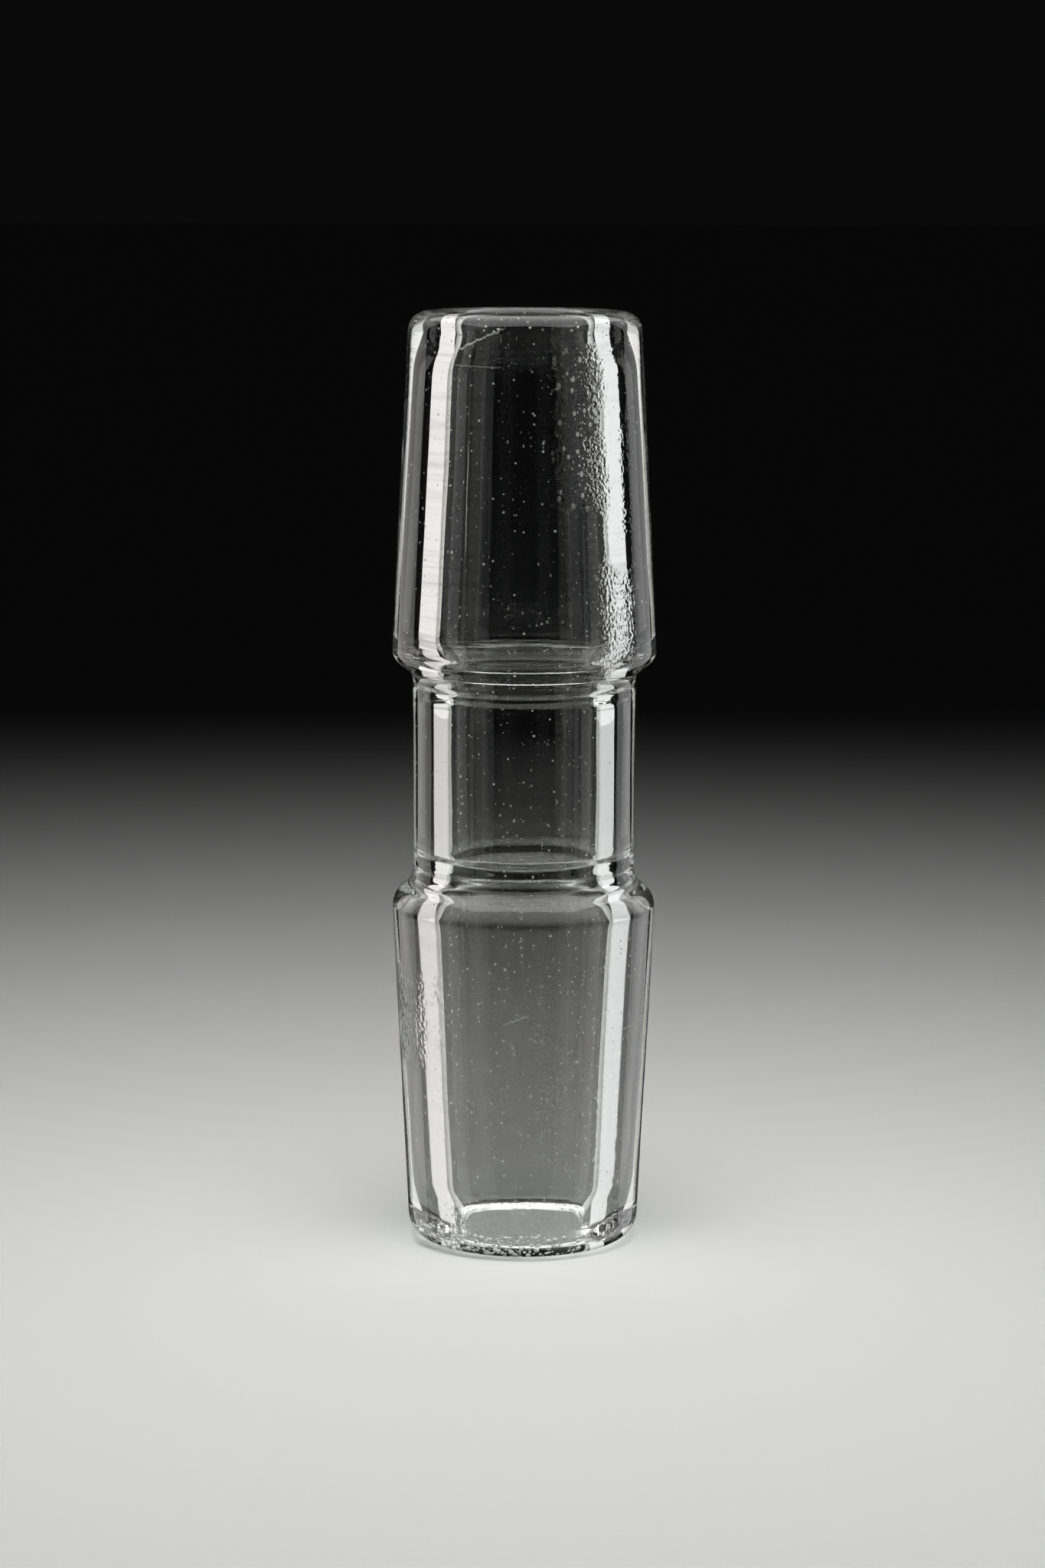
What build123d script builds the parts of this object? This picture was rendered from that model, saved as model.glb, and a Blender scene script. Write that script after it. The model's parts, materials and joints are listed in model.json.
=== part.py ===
"""Straight glass adapter with a standard-taper cone at each end, in millimetres.

Two thick-lipped conical blanks stand lip outwards on a short tube of the same glass, and a band of
melted glass seals each of them to it. The part stands on its lower lip: the origin is the centre of
that lip's flat face, and +Z runs up the common axis. Every piece is turned about Z.
"""

import math
import os

from build123d import *

# ---- Cones: the conical joints that seat in a socket ----------------------------------------
JOINT_DIAMETER = 18.8           # outside, at the wide end of the taper
TAPER = 10.0                    # length over which the diameter grows by 1 mm
LOWER_TAPER_LENGTH = 25.0       # from the lip's flat face to the wide end
UPPER_TAPER_LENGTH = 24.4
CONE_WALL = 3.0                 # measured square to the axis

# ---- Lip: the flame-thickened rim of each cone ----------------------------------------------
LIP_THICKNESS = 3.55            # from the end of the taper in to the mouth
LIP_LAND = 0.5                  # straight length of the mouth
LIP_EDGE_RADIUS = 0.6           # flat face into the mouth
LOWER_LIP_CORNER_RADIUS = 1.9   # flat face into the taper
UPPER_LIP_CORNER_RADIUS = 1.4
LIP_SLOPE_HEIGHT = 2.6          # from the mouth's land up to the plain bore of the cone
LIP_THROAT_RADIUS = 3.5         # rounding where the land ends
LIP_HOLLOW_RADIUS = 7.0         # rounding where the plain bore starts

# ---- Shoulder: where a cone steps down to the tube ------------------------------------------
SHOULDER_STEP = 1.53            # how far the tube stands in from the wide end
SHOULDER_DROP = 1.1             # height of that step
LOWER_SHOULDER_RADIUS = 1.6     # rounding of the wide end
UPPER_SHOULDER_RADIUS = 1.1
LOWER_NECK_RADIUS = 1.3         # hollow rounding at the foot of the shoulder
UPPER_NECK_RADIUS = 1.0
NECK_STRAIGHT = 0.12            # plain tube left on the cone past that rounding
BORE_STEP_HEIGHT = 1.9          # height over which the bore narrows to the tube's
BORE_HOLLOW_RADIUS = 3.0        # rounding at the cone's end of that step
BORE_THROAT_RADIUS = 2.0        # rounding at the tube's end of it

# ---- Tube and seals -------------------------------------------------------------------------
TUBE_WALL = 2.45
TUBE_LENGTH = 10.6              # clear of both seals
SEAL_HEIGHT = 1.3               # band melted together at each end of the tube
SEAL_SWELL = 0.05               # how far a seal's band stands out of the tube
SEAL_BEAD = 0.16                # how far it stands into the bore

# ---- Roundings ------------------------------------------------------------------------------
FILLET_ROOM = 0.995             # share of a side that the roundings at its ends may take up

# ---- Worked out from the above --------------------------------------------------------------
JOINT_RADIUS = JOINT_DIAMETER / 2
TUBE_RADIUS = JOINT_RADIUS - SHOULDER_STEP
BORE_RADIUS = TUBE_RADIUS - TUBE_WALL
SHOULDER_SLOPE = math.atan2(SHOULDER_DROP, SHOULDER_STEP)


def neck_run(neck_radius):
    """Length of tube that the hollow rounding at the foot of a shoulder takes up."""
    inner_angle = math.pi / 2 + SHOULDER_SLOPE
    return neck_radius / math.tan(inner_angle / 2)


def cone_height(taper_length, neck_radius):
    """Height of a cone blank from its lip's flat face to its seal."""
    return taper_length + SHOULDER_DROP + neck_run(neck_radius) + NECK_STRAIGHT


def turned(section):
    """A closed section in the radius and height plane, turned into a solid about Z."""
    return revolve(Plane.XZ * section, Axis.Z)


def reach(before, corner, after):
    """Length that a corner's rounding takes up on each of the two sides that meet there."""
    r, z, rounding = corner
    turn = math.atan2(before[1] - z, before[0] - r) - math.atan2(after[1] - z, after[0] - r)
    inner_angle = math.acos(math.cos(turn))
    return rounding / math.tan(inner_angle / 2)


def fitted(corners):
    """The roundings, made smaller where two of them would need more than the side they share."""
    count = len(corners)
    reaches = [reach(corners[i - 1], corners[i], corners[(i + 1) % count]) for i in range(count)]
    shares = [1.0] * count
    for i in range(count):
        j = (i + 1) % count
        side = math.dist(corners[i][:2], corners[j][:2])
        needed = reaches[i] + reaches[j]
        if needed > FILLET_ROOM * side:
            share = FILLET_ROOM * side / needed
            shares[i] = min(shares[i], share)
            shares[j] = min(shares[j], share)
    return [rounding * share for (_, _, rounding), share in zip(corners, shares)]


def rounded(corners):
    """A face from corners given as radius, height and rounding, where 0 leaves a corner sharp."""
    section = make_face(Polyline(*[(r, z) for r, z, _ in corners], close=True))
    for (r, z, _), rounding in zip(corners, fitted(corners)):
        if rounding:
            corner = section.vertices().sort_by_distance((r, z))[0]
            section = fillet(corner, rounding)
    return section


def cone(taper_length, lip_corner_radius, shoulder_radius, neck_radius):
    """A cone blank, lip down, with its lip's flat face at height zero."""

    def outside(height):
        return JOINT_RADIUS - (taper_length - height) / TAPER / 2

    mouth_radius = outside(0) - LIP_THICKNESS
    land_top = LIP_EDGE_RADIUS + LIP_LAND
    bore_start = land_top + LIP_SLOPE_HEIGHT
    neck_foot = taper_length + SHOULDER_DROP
    bore_end = neck_foot - BORE_STEP_HEIGHT
    top = cone_height(taper_length, neck_radius)
    outer_corners = [
        (outside(0), 0, lip_corner_radius),
        (JOINT_RADIUS, taper_length, shoulder_radius),
        (TUBE_RADIUS, neck_foot, neck_radius),
        (TUBE_RADIUS, top, 0),
    ]
    inner_corners = [
        (BORE_RADIUS, top, 0),
        (BORE_RADIUS, neck_foot, BORE_THROAT_RADIUS),
        (outside(bore_end) - CONE_WALL, bore_end, BORE_HOLLOW_RADIUS),
        (outside(bore_start) - CONE_WALL, bore_start, LIP_HOLLOW_RADIUS),
        (mouth_radius, land_top, LIP_THROAT_RADIUS),
        (mouth_radius, 0, LIP_EDGE_RADIUS),
    ]
    return turned(rounded(outer_corners + inner_corners))


def seal():
    """The band of melted glass between a cone and the tube, its lower face at height zero."""
    outside = ThreePointArc(
        (TUBE_RADIUS, 0),
        (TUBE_RADIUS + SEAL_SWELL, SEAL_HEIGHT / 2),
        (TUBE_RADIUS, SEAL_HEIGHT),
    )
    inside = ThreePointArc(
        (BORE_RADIUS, SEAL_HEIGHT),
        (BORE_RADIUS - SEAL_BEAD, SEAL_HEIGHT / 2),
        (BORE_RADIUS, 0),
    )
    top = Line(outside @ 1, inside @ 0)
    bottom = Line(inside @ 1, outside @ 0)
    return turned(make_face([outside, top, inside, bottom]))


def tube():
    """The plain tube, its lower end at height zero."""
    corners = [
        (BORE_RADIUS, 0, 0),
        (TUBE_RADIUS, 0, 0),
        (TUBE_RADIUS, TUBE_LENGTH, 0),
        (BORE_RADIUS, TUBE_LENGTH, 0),
    ]
    return turned(rounded(corners))


def stacked():
    """Every piece by name, at its place in the part."""
    lower_seal_bottom = cone_height(LOWER_TAPER_LENGTH, LOWER_NECK_RADIUS)
    tube_bottom = lower_seal_bottom + SEAL_HEIGHT
    upper_seal_bottom = tube_bottom + TUBE_LENGTH
    upper_cone_bottom = upper_seal_bottom + SEAL_HEIGHT
    overall_height = upper_cone_bottom + cone_height(UPPER_TAPER_LENGTH, UPPER_NECK_RADIUS)
    lower_cone = cone(
        LOWER_TAPER_LENGTH, LOWER_LIP_CORNER_RADIUS, LOWER_SHOULDER_RADIUS, LOWER_NECK_RADIUS
    )
    upper_cone = cone(
        UPPER_TAPER_LENGTH, UPPER_LIP_CORNER_RADIUS, UPPER_SHOULDER_RADIUS, UPPER_NECK_RADIUS
    )
    return {
        "lower_cone": lower_cone,
        "lower_seal": Pos(0, 0, lower_seal_bottom) * seal(),
        "connecting_tube": Pos(0, 0, tube_bottom) * tube(),
        "upper_seal": Pos(0, 0, upper_seal_bottom) * seal(),
        "upper_cone": Pos(0, 0, overall_height) * Rot(180, 0, 0) * upper_cone,
    }


os.makedirs("parts", exist_ok=True)
for name, piece in stacked().items():
    export_step(piece, f"parts/{name}.step")
    box = piece.bounding_box()
    print(f"{name}: {box.min.Z:.3f} to {box.max.Z:.3f} mm high, {piece.volume:.0f} mm3")
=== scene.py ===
"""Looks of a straight glass adapter: two conical joints, lips outwards, sealed to a short tube.

Every piece is turned about the upright axis and is modelled as a closed body of its own. The end
faces where the bodies are melted together have no glass surface, so light crosses them unbent.
"""

import json
import logging
import math
import random
from dataclasses import dataclass
from enum import Enum
from typing import Callable, Iterable

import bmesh
import bpy
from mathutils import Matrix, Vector


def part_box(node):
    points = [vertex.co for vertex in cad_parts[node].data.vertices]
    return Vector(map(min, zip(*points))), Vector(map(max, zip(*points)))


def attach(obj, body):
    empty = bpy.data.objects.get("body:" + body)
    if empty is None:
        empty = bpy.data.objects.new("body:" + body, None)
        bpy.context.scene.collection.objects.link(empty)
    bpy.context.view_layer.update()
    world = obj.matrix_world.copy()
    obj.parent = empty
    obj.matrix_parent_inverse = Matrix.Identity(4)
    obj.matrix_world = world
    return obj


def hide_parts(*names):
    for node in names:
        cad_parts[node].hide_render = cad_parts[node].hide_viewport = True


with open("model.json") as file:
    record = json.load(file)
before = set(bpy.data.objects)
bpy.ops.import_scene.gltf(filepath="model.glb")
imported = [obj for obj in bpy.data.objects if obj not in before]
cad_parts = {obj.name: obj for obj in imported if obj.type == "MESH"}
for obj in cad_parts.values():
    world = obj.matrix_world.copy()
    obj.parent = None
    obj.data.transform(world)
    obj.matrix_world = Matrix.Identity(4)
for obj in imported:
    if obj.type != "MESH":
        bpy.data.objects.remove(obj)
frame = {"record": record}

LOG = logging.getLogger("adapter")
MM = 0.001
BODY = "root"
CONE_WALL = 3.0 * MM
TUBE_WALL = 2.45 * MM  # the two seals have the tube's wall


# ---- Shader building ------------------------------------------------------------------------


class Signal:
    """A number that a shader works out, with Python's operators adding its Math nodes."""

    def __init__(self, graph: "Graph", socket: bpy.types.NodeSocket) -> None:
        """Wraps a socket.

        Args:
            graph: the node graph that the socket belongs to.
            socket: an output socket that carries a number.
        """
        self.graph = graph
        self.socket = socket

    def math(self, operation: str, *others: "Signal | float") -> "Signal":
        """Puts this value and others through one Math node.

        Args:
            operation: the Math node's operation.
            others: the values of its further inputs.

        Returns:
            The node's result.
        """
        inputs = dict(enumerate((self, *others)))
        return self.graph.signal("ShaderNodeMath", {"operation": operation}, inputs)

    def __add__(self, other: "Signal | float") -> "Signal":
        """Sum."""
        return self.math("ADD", other)

    def __sub__(self, other: "Signal | float") -> "Signal":
        """Difference."""
        return self.math("SUBTRACT", other)

    def __mul__(self, other: "Signal | float") -> "Signal":
        """Product."""
        return self.math("MULTIPLY", other)

    def __truediv__(self, other: "Signal | float") -> "Signal":
        """Quotient."""
        return self.math("DIVIDE", other)

    def smooth_step(self, low: float, high: float) -> "Signal":
        """A soft step.

        Args:
            low: the value at which the step starts, with 0 before it.
            high: the value at which it ends, with 1 after it.

        Returns:
            The step, from 0 to 1, or from 1 to 0 where high is below low.
        """
        rising = low < high
        inputs = {
            "Value": self,
            "From Min": min(low, high),
            "From Max": max(low, high),
            "To Min": 0.0 if rising else 1.0,
            "To Max": 1.0 if rising else 0.0,
        }
        settings = {"interpolation_type": "SMOOTHSTEP"}
        return self.graph.signal("ShaderNodeMapRange", settings, inputs)

    def within(self, low: float, high: float, fade: float) -> "Signal":
        """1 between two values and 0 outside them, with soft ends of a given width."""
        return self.smooth_step(low - fade, low + fade) * self.smooth_step(high + fade, high - fade)


class Graph:
    """A material's nodes."""

    def __init__(self, name: str) -> None:
        """Makes an empty material.

        Args:
            name: the material's name.
        """
        self.material = bpy.data.materials.new(name)
        self.material.use_nodes = True
        self.material.node_tree.nodes.clear()

    def node(self, kind: str, settings: dict, inputs: dict) -> bpy.types.Node:
        """Adds a node.

        Args:
            kind: the node's type.
            settings: properties of the node, set before its sockets are read.
            inputs: value or link for each socket, by name or by number.

        Returns:
            The new node.
        """
        made = self.material.node_tree.nodes.new(kind)
        for setting, value in settings.items():
            setattr(made, setting, value)
        for key, value in inputs.items():
            if isinstance(value, Signal):
                value = value.socket
            if isinstance(value, bpy.types.NodeSocket):
                self.material.node_tree.links.new(value, made.inputs[key])
            else:
                made.inputs[key].default_value = value
        return made

    def signal(self, kind: str, settings: dict, inputs: dict) -> Signal:
        """Adds a node and wraps its first output."""
        return Signal(self, self.node(kind, settings, inputs).outputs[0])

    def place(self) -> tuple[Signal, Signal, Signal]:
        """The place on the piece, as x, y and z in millimetres."""
        coordinates = self.node("ShaderNodeTexCoord", {}, {})
        split = self.node("ShaderNodeSeparateXYZ", {}, {0: coordinates.outputs["Object"]})
        x, y, z = (Signal(self, output) / MM for output in split.outputs)
        return x, y, z

    def vector(self, x: Signal, y: Signal, z: Signal) -> bpy.types.NodeSocket:
        """A vector from three numbers."""
        return self.node("ShaderNodeCombineXYZ", {}, {0: x, 1: y, 2: z}).outputs[0]

    def noise(self, vector: bpy.types.NodeSocket, detail: float, roughness: float = 0.5) -> Signal:
        """Soft noise about 0.

        Args:
            vector: the place, in the noise's own units of about one blot each.
            detail: the number of finer layers.
            roughness: how strong the finer layers are.

        Returns:
            The noise, mostly between -0.3 and 0.3.
        """
        inputs = {"Vector": vector, "Scale": 1.0, "Detail": detail, "Roughness": roughness}
        return self.signal("ShaderNodeTexNoise", {}, inputs) - 0.5

    def finish(self, shader: bpy.types.NodeSocket) -> bpy.types.Material:
        """Sends a shader to the material's surface, and gives the material."""
        self.node("ShaderNodeOutputMaterial", {}, {"Surface": shader})
        return self.material


# ---- Finishes -------------------------------------------------------------------------------


@dataclass(frozen=True)
class Patch:
    """Part of a wall that the mould left dimpled, with soft edges."""

    around_from: float  # degrees round the axis: 0 at the front, positive to the right
    around_to: float
    height_from: float  # in millimetres
    height_to: float
    depth: float  # in millimetres
    grain: float = 0.3
    glint: float = 0.0  # how strongly the dimples' edges catch the light
    glint_grain: float = 2.6


@dataclass(frozen=True)
class Scratch:
    """A fine frosted line from one place on the wall to another."""

    around_from: float
    height_from: float
    around_to: float
    height_to: float
    width: float = 0.05  # in millimetres
    wander: float = 0.25
    strength: float = 0.5
    upright: bool = False


@dataclass(frozen=True)
class ClearGlass:
    """Clear borosilicate glass, polished, with the marks of its making, and painted shade along its
    turned rings.
    """

    EDGE_STARTS, EDGE_ENDS = 0.45, 0.95  # where the tint of a wall seen edge on comes in
    RING_STARTS, RING_ENDS = 0.04, 0.2  # ring noise between which a ring turns hazy
    FROST_COLOUR = (0.95, 0.95, 0.93, 1.0)
    FROST_ROUGHNESS = 0.85
    SHADE_COLOUR = (0.93, 0.95, 0.93, 1.0)  # of the light that the glass lets into its shadow
    FADE_AROUND = 7.0  # soft ends of a patch, in degrees
    FADE_HEIGHT = 1.0  # and in millimetres
    BLOT_STARTS, BLOT_ENDS = 0.3, 0.6  # noise between which a patch's dimples come in
    SMALLEST_SPECK = 0.2  # share of the largest speck's size
    FAINTEST_SPECK = 0.3
    GLINT_STARTS = 0.35  # share of the dimples that catch no light
    GLINT_SIZE = 0.42
    GLINT_STRETCH = 0.7
    ARC_PER_DEGREE = 0.14  # millimetres round the wall in one degree
    SCRATCH_BENDS = 0.4  # bends of a scratch in each of its units of length
    SCRATCH_FADE = 0.12  # share of a scratch's length over which each end fades

    name: str
    tint: tuple[float, float, float] = (0.985, 0.99, 0.975)
    edge_tint: tuple[float, float, float] = (0.9, 0.93, 0.85)
    ior: float = 1.473
    ring_depth: float = 0.0
    ring_pitch: float = 0.55
    ring_slant: float = 0.0
    ring_haze: float = 0.0
    # ring_shade and the ring colour below paint shade into the glass along its turned rings: a
    # painted shade for the grey lines that the rings draw across the light the glass reflects.
    ring_shade: float = 0.0
    painted_ring_shade_colour: tuple[float, float, float] = (0.66, 0.65, 0.63)
    streak_depth: float = 0.0
    wave_depth: float = 0.004
    patches: tuple[Patch, ...] = ()
    scratches: tuple[Scratch, ...] = ()
    speck_grain: float = 1.6
    speck_size: float = 0.12
    wall_middle: float = 0.0  # radius of the middle of the wall at height zero, in millimetres
    wall_lean: float = 0.0  # how much that radius grows with each millimetre of height

    def material(self) -> bpy.types.Material:
        """The finish as a material."""
        graph = Graph(self.name)
        x, y, z = graph.place()
        around = x.math("ARCTAN2", y * -1.0) * math.degrees(1.0)
        outside = self._outside(x, y, z)
        rings = self._rings(graph, x, y, z) * outside
        normal = graph.node(
            "ShaderNodeBump",
            {},
            {"Height": self._relief(graph, x, y, z, around, rings, outside), "Distance": MM},
        ).outputs[0]
        edge = graph.node("ShaderNodeLayerWeight", {}, {"Blend": 0.5}).outputs["Facing"]
        edge = Signal(graph, edge).smooth_step(self.EDGE_STARTS, self.EDGE_ENDS)
        # Painted shade: along the turned rings the glass's colour darkens towards a grey, standing
        # in for the grey lines that the rings draw across the light the glass reflects.
        tint_with_painted_ring_shade = graph.node(
            "ShaderNodeMix",
            {"data_type": "RGBA"},
            {
                0: rings.smooth_step(0.0, self.RING_ENDS) * self.ring_shade,
                6: (*self.tint, 1.0),
                7: (*self.painted_ring_shade_colour, 1.0),
            },
        ).outputs[2]
        colour = graph.node(
            "ShaderNodeMix",
            {"data_type": "RGBA"},
            {0: edge, 6: tint_with_painted_ring_shade, 7: (*self.edge_tint, 1.0)},
        ).outputs[2]
        glass = graph.node(
            "ShaderNodeBsdfPrincipled",
            {},
            {
                "Base Color": colour,
                "Roughness": rings.smooth_step(self.RING_STARTS, self.RING_ENDS) * self.ring_haze,
                "IOR": self.ior,
                "Transmission Weight": 1.0,
                "Normal": normal,
            },
        )
        frost = graph.node(
            "ShaderNodeBsdfPrincipled",
            {},
            {
                "Base Color": self.FROST_COLOUR,
                "Roughness": self.FROST_ROUGHNESS,
                "IOR": self.ior,
                "Transmission Weight": 1.0,
            },
        )
        frosted = self._frosted(graph, x, y, z, around, outside)
        surface = graph.node(
            "ShaderNodeMixShader", {}, {0: frosted, 1: glass.outputs[0], 2: frost.outputs[0]}
        )
        path = graph.node("ShaderNodeLightPath", {}, {})
        lets_by = graph.node("ShaderNodeBsdfTransparent", {}, {"Color": self.SHADE_COLOUR})
        lit = graph.node(
            "ShaderNodeMixShader",
            {},
            {0: path.outputs["Is Shadow Ray"], 1: surface.outputs[0], 2: lets_by.outputs[0]},
        )
        return graph.finish(lit.outputs[0])

    def _cover(self, patch: Patch, around: Signal, z: Signal) -> Signal:
        """1 on a patch and 0 away from it, with soft ends."""
        around_mask = around.within(patch.around_from, patch.around_to, self.FADE_AROUND)
        return around_mask * z.within(patch.height_from, patch.height_to, self.FADE_HEIGHT)

    def _outside(self, x: Signal, y: Signal, z: Signal) -> Signal:
        """1 on the outer half of the wall and 0 on the bore."""
        across = (x * x + y * y).math("SQRT")
        return (across - z * self.wall_lean).math("GREATER_THAN", self.wall_middle)

    def _rings(self, graph: Graph, x: Signal, y: Signal, z: Signal) -> Signal:
        """The fine turned rings that the shaping tool left, as noise about 0."""
        turned = (z + x * self.ring_slant) / self.ring_pitch
        return graph.noise(graph.vector(x * 0.03, y * 0.03, turned), 3.0, 0.6)

    def _relief(
        self,
        graph: Graph,
        x: Signal,
        y: Signal,
        z: Signal,
        around: Signal,
        rings: Signal,
        outside: Signal,
    ) -> Signal:
        """The surface's height above the smooth wall.

        Args:
            graph: the material's graph.
            x, y, z: the place in millimetres.
            around: the place round the axis in degrees.
            rings: the turned rings.
            outside: 1 on the outer surface and 0 on the bore.

        Returns:
            The height in millimetres.
        """
        broad = graph.vector(x * 0.28, y * 0.28, z * 0.2)
        relief = graph.noise(broad, 2.0) * self.wave_depth
        if self.ring_depth:
            relief = relief + rings * self.ring_depth
        if self.streak_depth:
            drawn = graph.vector(x * 1.1, y * 1.1, z * 0.03)
            relief = relief + graph.noise(drawn, 3.0) * self.streak_depth
        for patch in self.patches:
            blot = graph.noise(graph.vector(x * 0.45, y * 0.45, z * 0.35), 2.0)
            blot = (blot + 0.5).smooth_step(self.BLOT_STARTS, self.BLOT_ENDS)
            mask = self._cover(patch, around, z) * outside * blot
            close = 1.0 / patch.grain
            grain = graph.vector(x * close, y * close, z * close)
            relief = relief + graph.noise(grain, 1.0, 0.4) * mask * patch.depth
        return relief

    def _frosted(
        self, graph: Graph, x: Signal, y: Signal, z: Signal, around: Signal, outside: Signal
    ) -> Signal:
        """How much of the surface is covered by specks of dust and by scratches.

        Args:
            graph: the material's graph.
            x, y, z: the place in millimetres.
            around: the place round the axis in degrees.
            outside: 1 on the outer surface and 0 on the bore.

        Returns:
            The cover, from 0 to 1.
        """
        cover = self._specks(graph, x, y, z)
        for patch in self.patches:
            glints = self._glints(graph, patch, x, y, z)
            glints = glints * self._cover(patch, around, z) * outside * patch.glint
            cover = cover.math("MAXIMUM", glints)
        for scratch in self.scratches:
            line = self._line(graph, scratch, around, z)
            cover = cover.math("MAXIMUM", line * outside * scratch.strength)
        return cover

    def _specks(self, graph: Graph, x: Signal, y: Signal, z: Signal) -> Signal:
        """Specks of dust, from 0 to 1, the large ones the strongest."""
        grains = graph.node(
            "ShaderNodeTexVoronoi",
            {},
            {"Vector": graph.vector(x, y, z), "Scale": self.speck_grain},
        )
        tone = graph.node("ShaderNodeSeparateColor", {}, {0: grains.outputs["Color"]}).outputs[0]
        tone = Signal(graph, tone)
        size = (tone * tone) * self.speck_size + self.speck_size * self.SMALLEST_SPECK
        strength = tone * (1.0 - self.FAINTEST_SPECK) + self.FAINTEST_SPECK
        return Signal(graph, grains.outputs["Distance"]).math("LESS_THAN", size) * strength

    def _glints(self, graph: Graph, patch: Patch, x: Signal, y: Signal, z: Signal) -> Signal:
        """1 on the dimples of a patch that catch the light, and 0 elsewhere."""
        dimples = graph.node(
            "ShaderNodeTexVoronoi",
            {},
            {"Vector": graph.vector(x, y, z * self.GLINT_STRETCH), "Scale": patch.glint_grain},
        )
        hue = graph.node("ShaderNodeSeparateColor", {}, {0: dimples.outputs["Color"]})
        size = Signal(graph, hue.outputs[1]).smooth_step(self.GLINT_STARTS, 1.0) * self.GLINT_SIZE
        return Signal(graph, dimples.outputs["Distance"]).math("LESS_THAN", size)

    def _line(self, graph: Graph, scratch: Scratch, around: Signal, z: Signal) -> Signal:
        """A scratch's line, from 0 to 1."""
        along, across = around, z
        start, end = scratch.around_from, scratch.around_to
        from_here, to_here = scratch.height_from, scratch.height_to
        if scratch.upright:
            along, across = z, around * self.ARC_PER_DEGREE
            start, end = scratch.height_from, scratch.height_to
            from_here = scratch.around_from * self.ARC_PER_DEGREE
            to_here = scratch.around_to * self.ARC_PER_DEGREE
        slope = (to_here - from_here) / (end - start)
        places = graph.vector(along * self.SCRATCH_BENDS, z * 0.0, z * 0.0)
        bend = graph.noise(places, 3.0) * scratch.wander
        off = (across - (along - start) * slope - from_here - bend).math("ABSOLUTE")
        low, high = min(start, end), max(start, end)
        ends = along.within(low, high, (high - low) * self.SCRATCH_FADE)
        return off.smooth_step(scratch.width, 0.0) * ends


@dataclass(frozen=True)
class MeltedJoin:
    """The place where two bodies of glass are one: it has no surface of its own."""

    name: str = "melted_join"

    def material(self) -> bpy.types.Material:
        """The finish as a material."""
        graph = Graph(self.name)
        clear = graph.node(
            "ShaderNodeBsdfPrincipled", {}, {"Alpha": 0.0, "Base Color": (1.0, 1.0, 1.0, 1.0)}
        )
        return graph.finish(clear.outputs[0])


@dataclass(frozen=True)
class PaleFloor:
    """A plain pale matt surface."""

    name: str = "pale_floor"
    colour: tuple[float, float, float] = (0.78, 0.78, 0.77)
    subdued: float = 0.7  # share of the refracted rays that pass through it unseen

    def material(self) -> bpy.types.Material:
        """The finish as a material."""
        graph = Graph(self.name)
        matt = graph.node(
            "ShaderNodeBsdfPrincipled",
            {},
            {"Base Color": (*self.colour, 1.0), "Roughness": 0.9, "Specular IOR Level": 0.0},
        )
        path = graph.node("ShaderNodeLightPath", {}, {})
        through_glass = Signal(graph, path.outputs["Is Transmission Ray"])
        open_below = graph.node("ShaderNodeBsdfTransparent", {}, {})
        floor = graph.node(
            "ShaderNodeMixShader",
            {},
            {0: through_glass * self.subdued, 1: matt.outputs[0], 2: open_below.outputs[0]},
        )
        return graph.finish(floor.outputs[0])


# ---- Turned shapes --------------------------------------------------------------------------


@dataclass(frozen=True)
class Corner:
    """A corner of a turned body's section, with the radius that rounds it."""

    radius: float
    height: float
    rounding: float = 0.0


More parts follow.
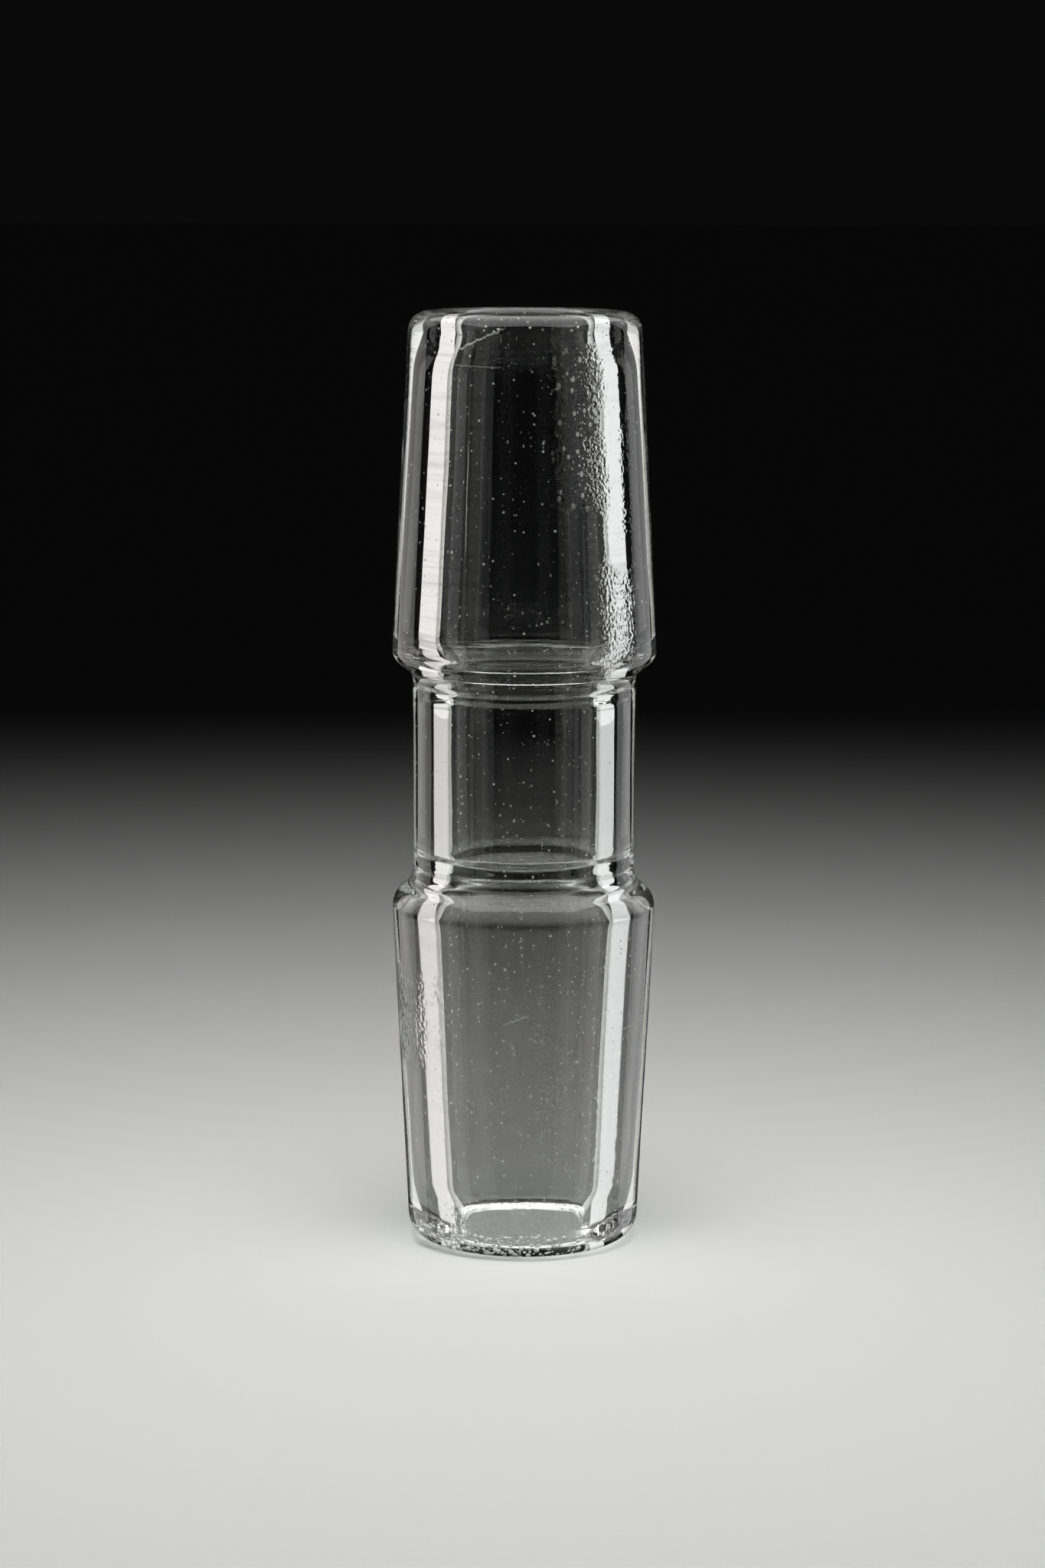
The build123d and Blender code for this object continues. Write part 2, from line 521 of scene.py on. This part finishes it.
class TurnedBody:
    """A body of revolution, drawn ring by ring in edit mode."""

    SIDES = 256
    ARC_STEPS = 8
    SPAN = 0.6 * MM  # longest run along the axis
    SLACK = 1.01
    NEAR = 1e-6

    def __init__(self, name: str, section: list[Corner]) -> None:
        """Draws the closed section's rings, joins the last to the first and rounds the corners.

        Args:
            name: the piece's name.
            section: the corners in order round the section.
        """
        self.section = section
        first = section[0]
        bpy.ops.object.select_all(action="DESELECT")
        bpy.ops.mesh.primitive_circle_add(
            vertices=self.SIDES, radius=first.radius, location=(0, 0, first.height)
        )
        bpy.ops.object.transform_apply(location=True)
        self.piece = bpy.context.active_object
        self.piece.name = name
        self.piece.data.name = name
        bpy.ops.object.mode_set(mode="EDIT")
        bpy.ops.mesh.select_mode(type="EDGE")
        for before, corner in zip(section, section[1:]):
            self._draw_ring(before, corner)
        self._select_edges(lambda edge: self._on(edge, first) or self._on(edge, section[-1]))
        bpy.ops.mesh.bridge_edge_loops()
        for index, corner in enumerate(section):
            if corner.rounding:
                self._round(index)
        self._even_out()
        bpy.ops.mesh.select_all(action="SELECT")
        bpy.ops.mesh.normals_make_consistent(inside=False)
        bpy.ops.object.mode_set(mode="OBJECT")
        bpy.ops.object.shade_smooth()

    def _draw_ring(self, before: Corner, corner: Corner) -> None:
        """Extrudes the selected ring to the next corner."""
        rise = corner.height - before.height
        grow = corner.radius / before.radius
        bpy.ops.mesh.extrude_region_move(TRANSFORM_OT_translate={"value": (0, 0, rise)})
        bpy.ops.transform.resize(value=(grow, grow, 1), center_override=(0, 0, corner.height))

    def _on(self, edge: bmesh.types.BMEdge, corner: Corner) -> bool:
        """True if an edge lies on a corner's ring."""
        return all(
            abs(v.co.z - corner.height) < self.NEAR
            and abs(math.hypot(v.co.x, v.co.y) - corner.radius) < self.NEAR
            for v in edge.verts
        )

    def _select_edges(self, wanted: Callable[[bmesh.types.BMEdge], bool]) -> int:
        """Selects the edges for which wanted is true, and gives their number."""
        bpy.ops.mesh.select_all(action="DESELECT")
        mesh = bmesh.from_edit_mesh(self.piece.data)
        found = [edge for edge in mesh.edges if wanted(edge)]
        for edge in found:
            edge.select_set(True)
        bmesh.update_edit_mesh(self.piece.data)
        return len(found)

    def _round(self, index: int) -> None:
        """Rounds the ring at one corner of the section."""
        here = self.section[index]
        sides = [self.section[index - 1], self.section[(index + 1) % len(self.section)]]
        ways = [Vector((s.radius - here.radius, s.height - here.height)) for s in sides]
        reach = here.rounding / math.tan(ways[0].angle(ways[1]) / 2)
        self._select_edges(lambda edge: self._on(edge, here))
        bpy.ops.mesh.bevel(
            offset_type="OFFSET",
            offset=reach,
            segments=self.ARC_STEPS,
            profile=0.5,
            affect="EDGES",
            clamp_overlap=False,
        )

    def _even_out(self) -> None:
        """Cuts the long runs along the axis into short spans."""
        while True:
            mesh = bmesh.from_edit_mesh(self.piece.data)
            runs = [
                edge
                for edge in mesh.edges
                if abs(edge.verts[0].co.z - edge.verts[1].co.z) > self.SPAN * self.SLACK
            ]
            if not runs:
                return
            longest = max(runs, key=lambda edge: edge.calc_length())
            length = longest.calc_length()
            middle = sum(v.co.z for v in longest.verts) / 2
            self._select_edges(
                lambda edge: abs(edge.calc_length() - length) < self.NEAR
                and abs(sum(v.co.z for v in edge.verts) / 2 - middle) < self.NEAR
            )
            bpy.ops.mesh.subdivide(number_cuts=max(1, math.ceil(length / self.SPAN) - 1))

    def melt_ends(self, heights: Iterable[float]) -> None:
        """Gives the flat end faces at these heights the second material, and a sharp rim.

        Args:
            heights: the heights of the faces where the body meets the next one.
        """
        heights = list(heights)
        bpy.ops.object.select_all(action="DESELECT")
        self.piece.select_set(True)
        bpy.context.view_layer.objects.active = self.piece
        bpy.ops.object.mode_set(mode="EDIT")
        bpy.ops.mesh.select_mode(type="FACE")
        bpy.ops.mesh.select_all(action="DESELECT")
        mesh = bmesh.from_edit_mesh(self.piece.data)
        for face in mesh.faces:
            flat = any(all(abs(v.co.z - h) < self.NEAR for v in face.verts) for h in heights)
            face.select_set(flat)
        bmesh.update_edit_mesh(self.piece.data)
        self.piece.active_material_index = 1
        bpy.ops.object.material_slot_assign()
        bpy.ops.mesh.region_to_loop()
        bpy.ops.mesh.mark_sharp()
        bpy.ops.object.mode_set(mode="OBJECT")

    def trap(self, shells: list[bpy.types.Object]) -> None:
        """Joins hollow shells into the body."""
        bpy.ops.object.select_all(action="DESELECT")
        for shell in shells:
            shell.select_set(True)
        self.piece.select_set(True)
        bpy.context.view_layer.objects.active = self.piece
        if shells:
            bpy.ops.object.join()

    def unevenness(self, grain: float, depth: float, hold: Callable[[Vector], float]) -> None:
        """Moves the surface in by a soft, uneven depth.

        Args:
            grain: the size of the hollows, in metres.
            depth: the deepest that the surface moves in, in metres.
            hold: gives each point's share of the movement, 0 where it has to stay.
        """
        free = self.piece.vertex_groups.new(name="free")
        for vertex in self.piece.data.vertices:
            free.add([vertex.index], hold(vertex.co), "REPLACE")
        clouds = bpy.data.textures.new(f"{self.piece.name}_clouds", "CLOUDS")
        clouds.noise_scale = grain
        clouds.noise_depth = 1
        change = self.piece.modifiers.new("unevenness", "DISPLACE")
        change.texture = clouds
        change.texture_coords = "LOCAL"
        change.strength = depth
        change.mid_level = 1.0
        change.vertex_group = "free"
        bpy.ops.object.select_all(action="DESELECT")
        self.piece.select_set(True)
        bpy.context.view_layer.objects.active = self.piece
        bpy.ops.object.modifier_apply(modifier="unevenness")
        self.piece.vertex_groups.clear()


class Facing(Enum):
    """Which way a cone's lip points."""

    DOWN = 1
    UP = -1


@dataclass(frozen=True)
class SeedBubbles:
    """Small air bubbles caught in the glass just under a rounded edge."""

    TRIES = 12  # for each bubble
    SKIN = 0.05 * MM  # glass left between a bubble and the surface
    APART = 0.02 * MM
    MOSTLY_SMALL = 1.6  # power that makes the small ones the commonest
    FLATTENED = 0.82

    count: int
    around_middle: float  # degrees round the axis, as for a patch
    around_spread: float
    around_limit: tuple[float, float]
    arc_middle: Corner  # the middle of the edge's rounding and its radius
    slope_from: float  # degrees below the level, from the rounding's middle
    slope_to: float
    lip: Facing
    smallest: float = 0.07 * MM
    largest: float = 0.2 * MM
    deepest: float = 0.7 * MM
    seed: int = 1

    def places(self) -> list[tuple[Vector, float]]:
        """Chooses the middle and the radius of each bubble, none touching another."""
        chance = random.Random(self.seed)
        chosen: list[tuple[Vector, float]] = []
        downward = 1.0 if self.lip is Facing.DOWN else -1.0
        for _ in range(self.count * self.TRIES):
            if len(chosen) == self.count:
                break
            around = chance.gauss(self.around_middle, self.around_spread)
            slope = math.radians(chance.uniform(self.slope_from, self.slope_to))
            share = chance.random() ** self.MOSTLY_SMALL
            radius = self.smallest + (self.largest - self.smallest) * share
            depth = radius + self.SKIN + chance.random() ** 2 * self.deepest
            if not self.around_limit[0] < around < self.around_limit[1]:
                continue
            out = self.arc_middle.radius + (self.arc_middle.rounding - depth) * math.cos(slope)
            down = (self.arc_middle.rounding - depth) * math.sin(slope) * downward
            turn = math.radians(around)
            middle = Vector(
                (out * math.sin(turn), -out * math.cos(turn), self.arc_middle.height - down)
            )
            gap = radius + self.APART
            if all((middle - other).length > gap + size for other, size in chosen):
                chosen.append((middle, radius))
        return chosen

    def build(self) -> bpy.types.Object:
        """Makes the bubbles as one mesh of hollow shells that face inwards."""
        bpy.ops.object.select_all(action="DESELECT")
        shells = None
        for middle, radius in self.places():
            bpy.ops.mesh.primitive_uv_sphere_add(
                segments=8, ring_count=6, radius=radius, location=middle
            )
            if shells is None:
                shells = bpy.context.active_object
                bpy.ops.object.transform_apply(location=True)
                bpy.ops.object.mode_set(mode="EDIT")
            bpy.ops.transform.resize(value=(1.0, 1.0, self.FLATTENED), center_override=middle)
        bpy.ops.mesh.select_all(action="SELECT")
        bpy.ops.mesh.normals_make_consistent(inside=True)
        bpy.ops.object.mode_set(mode="OBJECT")
        bpy.ops.object.shade_smooth()
        return shells


def settle(
    piece: bpy.types.Object, node: str, finishes: list[bpy.types.Material]
) -> None:
    """Gives a piece its finishes and its place in the frame.

    Args:
        piece: the finished piece.
        node: the CAD node that it stands for.
        finishes: the piece's materials in order.
    """
    for finish in finishes:
        piece.data.materials.append(finish)
    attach(piece, BODY)
    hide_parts(node)


# ---- Pieces ---------------------------------------------------------------------------------


def mount(name: str) -> dict:
    """A mount of the record, by name."""
    return next(m for m in frame["record"]["mounts"] if m["name"] == name)


@dataclass
class ConeBlank:
    """A thick-lipped conical joint, drawn from its lip to its seal."""

    node: str
    facing: Facing
    taper_mount: str
    mouth_mount: str
    tube_radius: float
    lip_corner_radius: float
    shoulder_radius: float
    neck_radius: float
    finish: ClearGlass
    bubbles: tuple[SeedBubbles, ...] = ()
    wall: float = CONE_WALL
    tube_wall: float = TUBE_WALL
    taper: float = 1 / 20
    lip_land: float = 1.1 * MM
    lip_slope: float = 2.6 * MM
    lip_edge_radius: float = 0.6 * MM
    lip_throat_radius: float = 3.5 * MM
    lip_hollow_radius: float = 7.0 * MM
    shoulder_drop: float = 1.1 * MM
    bore_step: float = 1.9 * MM
    bore_hollow_radius: float = 3.0 * MM
    bore_throat_radius: float = 2.0 * MM
    wave_size: float = 11 * MM  # broad waves in the wall
    wave_depth: float = 0.07 * MM
    ripple_size: float = 2.2 * MM  # ripples in the bore where the flame softened it
    ripple_depth: float = 0.03 * MM
    ripple_reach: float = 2.6 * MM
    still_seam: float = 2.0 * MM  # length over which the waves die out towards the seam
    still_lip: float = 1.5 * MM  # and towards the lip's flat face

    def height(self, from_lip: float) -> float:
        """The height of a level given by its distance from the lip's flat face."""
        low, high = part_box(self.node)
        return low.z + from_lip if self.facing is Facing.DOWN else high.z - from_lip

    def section(self) -> list[Corner]:
        """The corners of the wall's section, from the lip up the outside and back down the bore."""
        low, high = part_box(self.node)
        taper = mount(self.taper_mount)["dims"]
        wide, length = taper["r_mm"] * MM, taper["length_mm"] * MM
        mouth = mount(self.mouth_mount)["dims"]["r_mm"] * MM
        bore = self.tube_radius - self.tube_wall
        end = high.z - low.z
        foot = length + self.shoulder_drop
        bore_end = foot - self.bore_step
        bore_start = self.lip_land + self.lip_slope

        def outside(level: float) -> float:
            return wide - (length - level) * self.taper

        corners = [
            (outside(0), 0, self.lip_corner_radius),
            (wide, length, self.shoulder_radius),
            (self.tube_radius, foot, self.neck_radius),
            (self.tube_radius, end, 0),
            (bore, end, 0),
            (bore, foot, self.bore_throat_radius),
            (outside(bore_end) - self.wall, bore_end, self.bore_hollow_radius),
            (outside(bore_start) - self.wall, bore_start, self.lip_hollow_radius),
            (mouth, self.lip_land, self.lip_throat_radius),
            (mouth, 0, self.lip_edge_radius),
        ]
        return [Corner(radius, self.height(level), rounding) for radius, level, rounding in corners]

    def build(self, join: bpy.types.Material) -> bpy.types.Object:
        """Makes the piece.

        Args:
            join: the material of the faces that are melted to the next piece.

        Returns:
            The finished piece.
        """
        low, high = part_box(self.node)
        seam = high.z if self.facing is Facing.DOWN else low.z
        lip = self.height(0)

        def hold(point: Vector) -> float:
            from_seam = min(1.0, abs(point.z - seam) / self.still_seam)
            from_lip = min(1.0, abs(point.z - lip) / self.still_lip)
            return from_seam * from_lip

        step = self.height(mount(self.taper_mount)["dims"]["length_mm"] * MM)

        def near_step(point: Vector) -> float:
            inside = math.hypot(point.x, point.y) < self.tube_radius - 0.35 * MM
            reach = 1.0 - abs(point.z - step) / self.ripple_reach
            return hold(point) * max(0.0, min(1.0, reach * 1.6)) if inside else 0.0

        body = TurnedBody(f"{self.node}_glass", self.section())
        body.unevenness(self.wave_size, self.wave_depth, hold)
        body.unevenness(self.ripple_size, self.ripple_depth, near_step)
        settle(body.piece, self.node, [self.finish.material(), join])
        body.melt_ends([seam])
        body.trap([bubbles.build() for bubbles in self.bubbles])
        return body.piece


@dataclass
class PlainTube:
    """The drawn tube between the two seals."""

    node: str
    finish: ClearGlass
    wall: float = TUBE_WALL
    wave_size: float = 9 * MM
    wave_depth: float = 0.05 * MM
    still_end: float = 1.5 * MM  # length over which the waves die out towards each end

    def build(self, join: bpy.types.Material) -> bpy.types.Object:
        """Makes the piece.

        Args:
            join: the material of the faces that are melted to the next piece.

        Returns:
            The finished piece.
        """
        low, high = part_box(self.node)
        section = [
            Corner(high.x, low.z),
            Corner(high.x, high.z),
            Corner(high.x - self.wall, high.z),
            Corner(high.x - self.wall, low.z),
        ]

        def hold(point: Vector) -> float:
            return min(1.0, min(point.z - low.z, high.z - point.z) / self.still_end)

        body = TurnedBody(f"{self.node}_glass", section)
        body.unevenness(self.wave_size, self.wave_depth, hold)
        settle(body.piece, self.node, [self.finish.material(), join])
        body.melt_ends([low.z, high.z])
        return body.piece


@dataclass
class MeltedSeal:
    """The band of glass that the flame left between a cone and the tube."""

    node: str
    tube_radius: float
    finish: ClearGlass
    tube_wall: float = TUBE_WALL
    swell: float = 0.05 * MM
    bead: float = 0.16 * MM
    steps: int = 14
    wave_size: float = 1.6 * MM
    wave_depth: float = 0.05 * MM
    still_end: float = 0.35 * MM  # length over which the waves die out towards each end

    def section(self) -> list[Corner]:
        """The corners of the band's section, swelling softly out and in."""
        low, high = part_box(self.node)

        def side(radius: float, bulge: float) -> list[Corner]:
            levels = [step / self.steps for step in range(self.steps + 1)]
            return [
                Corner(
                    radius + bulge * (1 - math.cos(math.tau * level)) / 2,
                    low.z + (high.z - low.z) * level,
                )
                for level in levels
            ]

        inside = side(self.tube_radius - self.tube_wall, -self.bead)
        return side(self.tube_radius, self.swell) + inside[::-1]

    def build(self, join: bpy.types.Material) -> bpy.types.Object:
        """Makes the piece.

        Args:
            join: the material of the faces that are melted to the next piece.

        Returns:
            The finished piece.
        """
        low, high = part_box(self.node)

        def hold(point: Vector) -> float:
            return min(1.0, min(point.z - low.z, high.z - point.z) / self.still_end)

        body = TurnedBody(f"{self.node}_glass", self.section())
        body.unevenness(self.wave_size, self.wave_depth, hold)
        settle(body.piece, self.node, [self.finish.material(), join])
        body.melt_ends([low.z, high.z])
        return body.piece


# ---- Studio ---------------------------------------------------------------------------------


class Reach(Enum):
    """What a light falls on."""

    GLASS = "glass"
    FLOOR = "floor"


@dataclass(frozen=True)
class Softbox:
    """A soft light at a place, aimed at a point."""

    name: str
    place: tuple[float, float, float]
    aim: tuple[float, float, float]
    width: float
    height: float
    watts: float
    reach: Reach
    spread: float = 180.0
    colour: tuple[float, float, float] = (1.0, 1.0, 1.0)

    def build(self) -> bpy.types.Object:
        """Makes the light."""
        lamp = bpy.data.lights.new(self.name, "AREA")
        lamp.shape = "RECTANGLE"
        lamp.size = self.width
        lamp.size_y = self.height
        lamp.energy = self.watts
        lamp.color = self.colour
        lamp.spread = math.radians(self.spread)
        light = bpy.data.objects.new(self.name, lamp)
        bpy.context.scene.collection.objects.link(light)
        light.location = self.place
        way = Vector(self.aim) - Vector(self.place)
        light.rotation_euler = way.to_track_quat("-Z", "Y").to_euler()
        light.visible_camera = False
        light.visible_diffuse = self.reach is Reach.FLOOR
        light.visible_glossy = self.reach is Reach.GLASS
        light.visible_transmission = self.reach is Reach.GLASS
        return light


@dataclass(frozen=True)
class SidePanel:
    """An upright soft panel that stands at both sides of the glass."""

    name: str
    turn: float  # degrees round the axis, from the camera's side
    spread: float  # how many degrees it fills, seen from the glass
    distance: float
    brightness: float


@dataclass(frozen=True)
class Studio:
    """Floor, lights and camera."""

    floor_size: float = 6.0
    camera_distance: float = 0.3175
    camera_height: float = 0.0799
    camera_side: float = -0.0001
    pitch: float = 8.44
    roll: float = 0.16
    lens: float = 103.8
    panels: tuple[SidePanel, ...] = (
        SidePanel("rear", 128.5, 33.0, 0.45, 0.94),
        SidePanel("front", 64.0, 22.0, 0.3, 0.45),
    )
    hands: tuple[tuple[str, int, tuple[float, float, float]], ...] = (
        ("left", -1, (1.0, 0.985, 0.96)),
        ("right", 1, (0.975, 0.985, 1.0)),
    )
    panel_height: float = 1.2
    overhead_place: tuple[float, float, float] = (0.0, 0.1, 0.6)
    overhead_light: float = 2.0
    overhead_size: float = 1.0
    pool_place: tuple[float, float, float] = (0.0, -0.08, 0.45)
    pool_aim: tuple[float, float, float] = (0.0, -0.03, 0.0)
    pool_size: tuple[float, float] = (0.22, 0.2)
    pool_watts: float = 0.19
    pool_spread: float = 50.0
    surround: tuple[float, float, float] = (0.003, 0.003, 0.0033)

    def floor(self) -> bpy.types.Object:
        """Lays the floor."""
        bpy.ops.object.select_all(action="DESELECT")
        bpy.ops.mesh.primitive_grid_add(
            x_subdivisions=8, y_subdivisions=8, size=self.floor_size, location=(0, 0, 0)
        )
        ground = bpy.context.active_object
        ground.name = "floor"
        ground.data.materials.append(PaleFloor().material())
        ground.visible_glossy = False
        return ground

    def light(self) -> None:
        """Sets up the side panels, the overhead panel and the soft pool of light on the floor."""
        for hand, side, colour in self.hands:
            for panel in self.panels:
                turn = math.radians(panel.turn)
                place = (
                    side * panel.distance * math.sin(turn),
                    -panel.distance * math.cos(turn),
                    0.0,
                )
                width = 2 * panel.distance * math.tan(math.radians(panel.spread / 2))
                watts = math.pi * panel.brightness * width * self.panel_height
                box = Softbox(
                    f"{hand}_{panel.name}",
                    place,
                    (0.0, 0.0, 0.0),
                    width,
                    self.panel_height,
                    watts,
                    Reach.GLASS,
                    colour=colour,
                )
                box.build()
        overhead = Softbox(
            "overhead",
            self.overhead_place,
            (0.0, 0.0, 0.0),
            self.overhead_size,
            self.overhead_size,
            math.pi * self.overhead_light * self.overhead_size**2,
            Reach.GLASS,
        )
        overhead.build()
        pool = Softbox(
            "pool",
            self.pool_place,
            self.pool_aim,
            *self.pool_size,
            self.pool_watts,
            Reach.FLOOR,
            spread=self.pool_spread,
        )
        pool.build()
        world = bpy.data.worlds.new("surround")
        bpy.context.scene.world = world
        world.use_nodes = True
        world.node_tree.nodes["Background"].inputs["Color"].default_value = (*self.surround, 1.0)

    def let_light_travel(self) -> None:
        """Lets light go round inside the walls, as it does in thick glass."""
        tracing = bpy.context.scene.cycles
        tracing.max_bounces = 24
        tracing.glossy_bounces = 14
        tracing.transmission_bounces = 20
        tracing.transparent_max_bounces = 24

    def camera(self) -> bpy.types.Object:
        """Places the camera."""
        body = bpy.data.cameras.new("camera")
        body.lens = self.lens
        body.sensor_width = 36.0
        body.clip_start = 0.01
        camera = bpy.data.objects.new("camera", body)
        bpy.context.scene.collection.objects.link(camera)
        camera.location = (self.camera_side, -self.camera_distance, self.camera_height)
        camera.rotation_euler = (math.radians(90 - self.pitch), 0, 0)
        camera.rotation_euler.rotate_axis("Z", math.radians(self.roll))
        bpy.context.scene.camera = camera
        return camera


# ---- Making ---------------------------------------------------------------------------------


def main() -> None:
    """Builds the pieces and the studio."""
    logging.basicConfig(level=logging.INFO, format="%(name)s: %(message)s")
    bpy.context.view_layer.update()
    tube_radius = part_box("connecting_tube")[1].x
    join = MeltedJoin().material()
    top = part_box("upper_cone")[1].z / MM
    lower_finish = ClearGlass(
        "lower_cone_glass",
        ring_depth=0.006,
        ring_slant=0.12,
        ring_haze=0.1,
        ring_shade=0.3,
        wall_middle=6.65,
        wall_lean=0.05,
        patches=(
            Patch(-80.0, -50.0, 13.5, 20.0, 0.1, glint=0.6),
            Patch(38.0, 56.0, 3.0, 13.0, 0.01),
        ),
        scratches=(
            Scratch(-8.0, 17.2, 2.0, 17.8, width=0.07, wander=0.5, strength=0.8),
            Scratch(52.0, 16.2, 74.0, 16.7, width=0.07, strength=0.8),
            Scratch(-52.0, 5.0, -50.0, 9.0, upright=True),
        ),
    )
    upper_finish = ClearGlass(
        "upper_cone_glass",
        ring_depth=0.006,
        ring_haze=0.1,
        ring_shade=0.9,
        wall_middle=9.99,
        wall_lean=-0.05,
        patches=(
            Patch(17.0, 40.0, top - 13.0, top - 2.5, 0.12, 0.24, glint=0.7),
            Patch(34.0, 58.0, top - 24.5, top - 17.0, 0.09, 0.26, glint=0.35),
            Patch(40.0, 58.0, top - 20.0, top - 2.0, 0.03),
        ),
        scratches=(
            Scratch(-33.0, top - 2.3, -11.0, top - 0.9, width=0.11, wander=0.6, strength=1.0),
            Scratch(-27.0, top - 16.0, -27.0, top - 9.0, upright=True, strength=0.7),
            Scratch(47.0, top - 19.2, 62.0, top - 18.9),
            Scratch(-38.0, top - 3.4, -12.0, top - 3.5, strength=0.35),
        ),
    )
    tube_finish = ClearGlass(
        "connecting_tube_glass",
        streak_depth=0.003,
        wave_depth=0.003,
        ring_haze=0.03,
        wall_middle=6.6,
    )
    seal_finish = ClearGlass("seal_glass", wave_depth=0.006, tint=(0.95, 0.975, 0.93))
    lower_corner, upper_corner = 1.9 * MM, 1.4 * MM
    lower_lip = Corner(6.343 * MM, lower_corner, lower_corner)
    upper_lip = Corner(6.848 * MM, top * MM - upper_corner, upper_corner)
    pieces = [
        ConeBlank(
            "lower_cone",
            Facing.DOWN,
            "lower_taper",
            "lower_mouth",
            tube_radius,
            lower_corner,
            1.6 * MM,
            1.3 * MM,
            lower_finish,
            bubbles=(
                SeedBubbles(
                    230, -20.0, 25.0, (-78.0, 42.0), lower_lip, 5.0, 90.0, Facing.DOWN, seed=3
                ),
                SeedBubbles(
                    45, -62.0, 12.0, (-85.0, -40.0), lower_lip, 0.0, 90.0, Facing.DOWN, seed=4
                ),
            ),
        ),
        MeltedSeal("lower_seal", tube_radius, seal_finish),
        PlainTube("connecting_tube", tube_finish),
        MeltedSeal("upper_seal", tube_radius, seal_finish),
        ConeBlank(
            "upper_cone",
            Facing.UP,
            "upper_taper",
            "upper_mouth",
            tube_radius,
            upper_corner,
            1.1 * MM,
            1.0 * MM,
            upper_finish,
            bubbles=(
                SeedBubbles(
                    26,
                    0.0,
                    40.0,
                    (-90.0, 90.0),
                    upper_lip,
                    15.0,
                    95.0,
                    Facing.UP,
                    largest=0.1 * MM,
                    seed=5,
                ),
            ),
        ),
    ]
    for piece in pieces:
        made = piece.build(join)
        LOG.info("%s: %d faces", made.name, len(made.data.polygons))
    studio = Studio()
    studio.floor()
    studio.light()
    studio.camera()
    studio.let_light_travel()
    scene = bpy.context.scene
    scene.view_settings.view_transform = "Standard"


if __name__ == "__main__":
    main()
